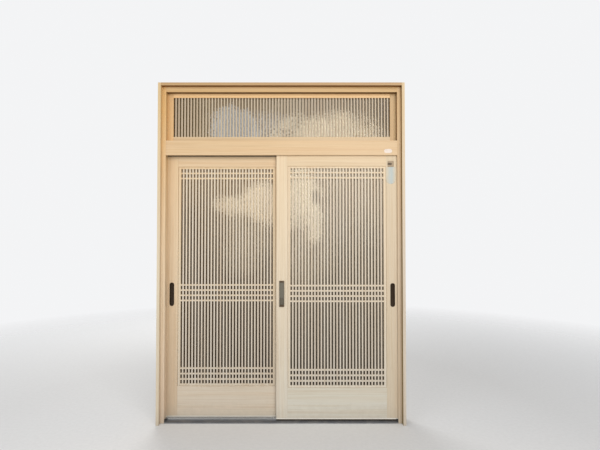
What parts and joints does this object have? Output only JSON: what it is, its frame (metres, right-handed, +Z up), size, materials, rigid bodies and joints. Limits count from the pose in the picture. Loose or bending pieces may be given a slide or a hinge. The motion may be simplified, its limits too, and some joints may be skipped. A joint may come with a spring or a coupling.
{
  "type": "sliding entrance door set",
  "caption": "Sliding entrance doors in their frame: fine upright latticework over figured glass, tall kick rails, recessed pulls and a fixed latticed transom window above.",
  "frame": {"origin": "middle of the frame's footprint, at the foot of the sill", "axes": "+X to the right as seen from outside, +Y into the house, +Z up"},
  "size_m": [1.69, 0.145, 2.33],
  "materials": {
    "jamb_film": "pale wood-grain film, grain upright, satin",
    "head_film": "pale wood-grain film, grain level, satin",
    "sash_film": "pale wood-grain film, satin",
    "stile_film": "pale wood-grain film, grain upright, satin",
    "rail_film": "pale wood-grain film, grain level, satin",
    "lattice_film": "pale wood-grain film, satin",
    "lip_aluminium": "satin anodised",
    "sill_aluminium": "satin anodised, a little dusty",
    "stainless": "brushed along its length",
    "screw_steel": "bright zinc",
    "figured_glass": "small figured relief on one face",
    "gasket_rubber": "matt",
    "pile": "short pile",
    "buffer_rubber": "matt",
    "roller_plastic": "moulded acetal",
    "housing_plastic": "moulded",
    "dark_bronze": "dark bronze, satin",
    "grey_bronze": "grey bronze, satin",
    "lock_steel": "satin",
    "champagne": "champagne, satin",
    "white_plate": "plain",
    "pale_tag": "plain, milky"
  },
  "bodies": {
    "frame": {"left_jamb": "jamb_film", "right_jamb": "jamb_film", "head": "head_film", "sill": "sill_aluminium", "track_caps": "stainless", "transom_bar": "head_film", "transom_sash": "sash_film", "transom_glass": "figured_glass", "transom_gasket": "gasket_rubber", "transom_lattice": "lattice_film", "frame_screws": "screw_steel", "frame_seals": "pile", "rubber_buffers": "buffer_rubber", "strike_plate": "stainless", "oval_plate": "white_plate"},
    "outer_door": {"outer_lock_stile": "stile_film", "outer_meeting_stile": "stile_film", "outer_top_rail": "rail_film", "outer_kick_rail": "rail_film", "outer_bottom_lip": "lip_aluminium", "outer_glass": "figured_glass", "outer_gasket": "gasket_rubber", "outer_lattice_frame": "lattice_film", "outer_lattice_bars": "lattice_film", "outer_roller_housings": "housing_plastic", "outer_pulls": "dark_bronze", "outer_top_guides": "housing_plastic", "outer_seals": "pile", "outer_screws": "screw_steel", "lock_cover_housing": "grey_bronze", "lock_cover_ends": "dark_bronze", "key_cylinder": "lock_steel", "upper_lock_case": "champagne", "lock_tag": "pale_tag"},
    "inner_door": {"inner_lock_stile": "stile_film", "inner_meeting_stile": "stile_film", "inner_top_rail": "rail_film", "inner_kick_rail": "rail_film", "inner_bottom_lip": "lip_aluminium", "inner_glass": "figured_glass", "inner_gasket": "gasket_rubber", "inner_lattice_frame": "lattice_film", "inner_lattice_bars": "lattice_film", "inner_roller_housings": "housing_plastic", "inner_pulls": "dark_bronze", "inner_top_guides": "housing_plastic", "inner_seals": "pile", "inner_screws": "screw_steel", "meeting_lock_case": "lock_steel"},
    "outer_wheel_1": {"outer_wheel_1": "roller_plastic"},
    "outer_wheel_2": {"outer_wheel_2": "roller_plastic"},
    "inner_wheel_1": {"inner_wheel_1": "roller_plastic"},
    "inner_wheel_2": {"inner_wheel_2": "roller_plastic"},
    "lock_cover": {"lock_cover": "grey_bronze"},
    "key_plug": {"key_plug": "lock_steel"},
    "meeting_turn": {"meeting_turn": "lock_steel"},
    "meeting_bolt": {"meeting_bolt": "lock_steel"},
    "upper_turn": {"upper_turn": "lock_steel"},
    "upper_hook": {"upper_hook": "lock_steel"},
    "keyhole_shutter": {"keyhole_shutter": "dark_bronze"}
  },
  "joints": [
    {"name": "outer_door_slide", "type": "slide", "parent": "frame", "child": "outer_door", "axis": [-1, 0, 0], "range_m": [0, 0.7]},
    {"name": "inner_door_slide", "type": "slide", "parent": "frame", "child": "inner_door", "axis": [1, 0, 0], "range_m": [0, 0.7]},
    {"name": "outer_wheel_1_roll", "type": "hinge", "parent": "outer_door", "child": "outer_wheel_1", "pos_m": [0.1025, -0.0015, 0.0423], "axis": [0, -1, 0], "range_deg": [0, 2680]},
    {"name": "outer_wheel_2_roll", "type": "hinge", "parent": "outer_door", "child": "outer_wheel_2", "pos_m": [0.666, -0.0015, 0.0423], "axis": [0, -1, 0], "range_deg": [0, 2680]},
    {"name": "inner_wheel_1_roll", "type": "hinge", "parent": "inner_door", "child": "inner_wheel_1", "pos_m": [-0.1025, 0.0385, 0.0423], "axis": [0, 1, 0], "range_deg": [0, 2680]},
    {"name": "inner_wheel_2_roll", "type": "hinge", "parent": "inner_door", "child": "inner_wheel_2", "pos_m": [-0.666, 0.0385, 0.0423], "axis": [0, 1, 0], "range_deg": [0, 2680]},
    {"name": "lock_cover_slide", "type": "slide", "parent": "outer_door", "child": "lock_cover", "axis": [0, 0, -1], "range_m": [0, 0.046]},
    {"name": "key_turn", "type": "hinge", "parent": "outer_door", "child": "key_plug", "pos_m": [0.002, -0.0175, 0.932], "axis": [0, 1, 0], "range_deg": [0, 90]},
    {"name": "meeting_lock_turn", "type": "hinge", "parent": "inner_door", "child": "meeting_turn", "pos_m": [0.002, 0.0575, 0.88], "axis": [0, 1, 0], "range_deg": [0, 90]},
    {"name": "meeting_bolt_throw", "type": "slide", "parent": "inner_door", "child": "meeting_bolt", "axis": [0, -1, 0], "range_m": [0, 0.0131]},
    {"name": "upper_lock_turn", "type": "hinge", "parent": "outer_door", "child": "upper_turn", "pos_m": [0.7576, 0.0163, 1.778], "axis": [0, -1, 0], "range_deg": [0, 90]},
    {"name": "upper_hook_swing", "type": "hinge", "parent": "outer_door", "child": "upper_hook", "pos_m": [0.793, 0.004, 1.778], "axis": [0, -1, 0], "range_deg": [0, 90.5]},
    {"name": "shutter_swing", "type": "hinge", "parent": "outer_door", "child": "keyhole_shutter", "pos_m": [0.7576, -0.0228, 1.778], "axis": [0, -1, 0], "range_deg": [0, 90]}
  ],
  "couplings": [
    {"joint": "outer_wheel_1_roll", "follows": "outer_door_slide", "rad_per_m": 66.667},
    {"joint": "outer_wheel_2_roll", "follows": "outer_door_slide", "rad_per_m": 66.667},
    {"joint": "inner_wheel_1_roll", "follows": "inner_door_slide", "rad_per_m": 66.667},
    {"joint": "inner_wheel_2_roll", "follows": "inner_door_slide", "rad_per_m": 66.667},
    {"joint": "meeting_bolt_throw", "follows": "meeting_lock_turn", "m_per_rad": 0.0082761},
    {"joint": "upper_hook_swing", "follows": "upper_lock_turn", "ratio": 1}
  ]
}
